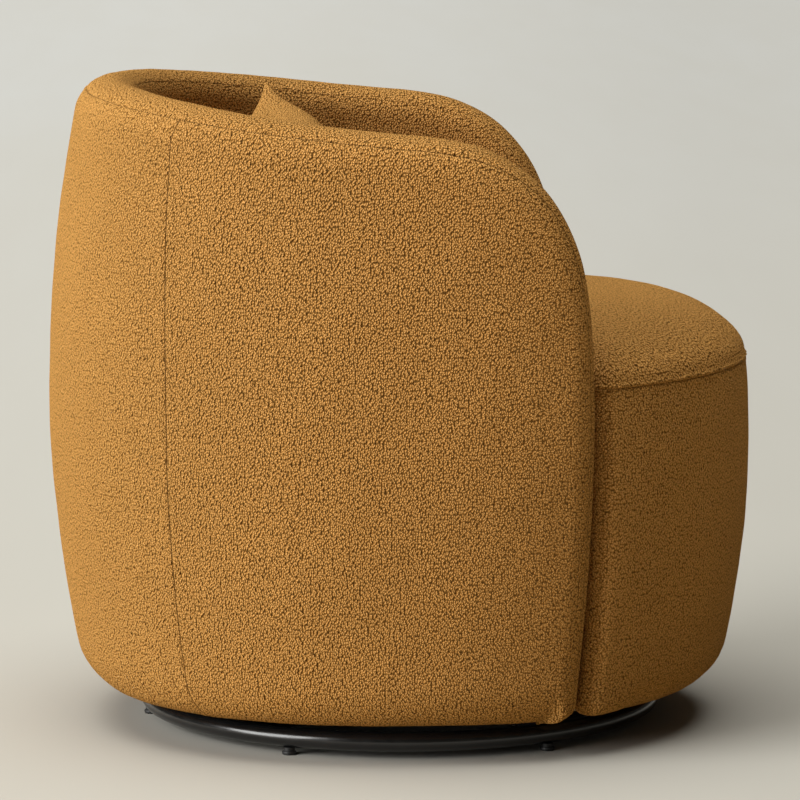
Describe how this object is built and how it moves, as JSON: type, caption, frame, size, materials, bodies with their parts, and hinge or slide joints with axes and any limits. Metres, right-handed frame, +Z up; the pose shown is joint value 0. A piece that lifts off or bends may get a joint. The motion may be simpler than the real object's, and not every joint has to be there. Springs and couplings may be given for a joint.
{
  "type": "swivel armchair",
  "caption": "Barrel swivel armchair: round upholstered tub, domed seat, loose lumbar pillow and a low round tube base that the tub turns on.",
  "frame": {"origin": "on the floor under the swivel axis, at the middle of the chair's footprint", "axes": "+Z up, -Y towards the front of the seat, +X towards the sitter's left"},
  "size_m": [0.7814, 0.8092, 0.743],
  "materials": {
    "ochre_boucle": "looped ochre boucle",
    "foam": "pale polyurethane foam",
    "birch_ply": "raw plywood",
    "jute_web": "woven elastic webbing",
    "black_steel": "satin black powder coat",
    "black_nylon": "matt moulded nylon",
    "zinc_steel": "zinc plated",
    "black_cloth": "black spunbond cloth"
  },
  "bodies": {
    "base": {"base_ring": "black_steel", "base_spoke_1": "black_steel", "base_spoke_2": "black_steel", "base_spoke_3": "black_steel", "base_spoke_4": "black_steel", "glide_1": "black_nylon", "glide_2": "black_nylon", "glide_3": "black_nylon", "glide_4": "black_nylon", "glide_5": "black_nylon", "glide_6": "black_nylon", "swivel_lower_plate": "zinc_steel", "swivel_lower_race": "zinc_steel", "swivel_pivot": "zinc_steel", "plate_bolt_1": "zinc_steel", "plate_bolt_2": "zinc_steel", "plate_bolt_3": "zinc_steel", "plate_bolt_4": "zinc_steel"},
    "cage": {"ball_cage": "zinc_steel"},
    "chair": {"outer_back_cover": "ochre_boucle", "outer_side_cover_left": "ochre_boucle", "outer_side_cover_right": "ochre_boucle", "rim_band": "ochre_boucle", "inner_cover": "ochre_boucle", "seat_band_cover": "ochre_boucle", "seat_top_cover": "ochre_boucle", "outer_foam": "foam", "inner_foam": "foam", "rim_foam": "foam", "seat_band_foam": "foam", "seat_foam": "foam", "shell_former": "birch_ply", "base_board": "birch_ply", "seat_front_panel": "birch_ply", "seat_side_rail_left": "birch_ply", "seat_side_rail_right": "birch_ply", "seat_rear_rail": "birch_ply", "seat_webbing_1": "jute_web", "seat_webbing_2": "jute_web", "seat_webbing_3": "jute_web", "seat_webbing_4": "jute_web", "seat_webbing_5": "jute_web", "swivel_upper_plate": "zinc_steel", "swivel_upper_race": "zinc_steel", "plate_screw_1": "zinc_steel", "plate_screw_2": "zinc_steel", "plate_screw_3": "zinc_steel", "plate_screw_4": "zinc_steel", "dust_cover": "black_cloth"},
    "pillow": {"pillow": "ochre_boucle"}
  },
  "joints": [
    {"name": "swivel", "type": "hinge", "parent": "base", "child": "chair", "pos_m": [0, 0, 0], "axis": [0, 0, 1], "continuous": true},
    {"name": "cage_spin", "type": "hinge", "parent": "base", "child": "cage", "pos_m": [0, 0, 0], "axis": [0, 0, 1], "continuous": true},
    {"name": "pillow_lift", "type": "slide", "parent": "chair", "child": "pillow", "axis": [0, -0.3492, 0.9371], "range_m": [0, 0.3]}
  ],
  "couplings": [
    {"joint": "cage_spin", "follows": "swivel", "ratio": 0.5}
  ]
}
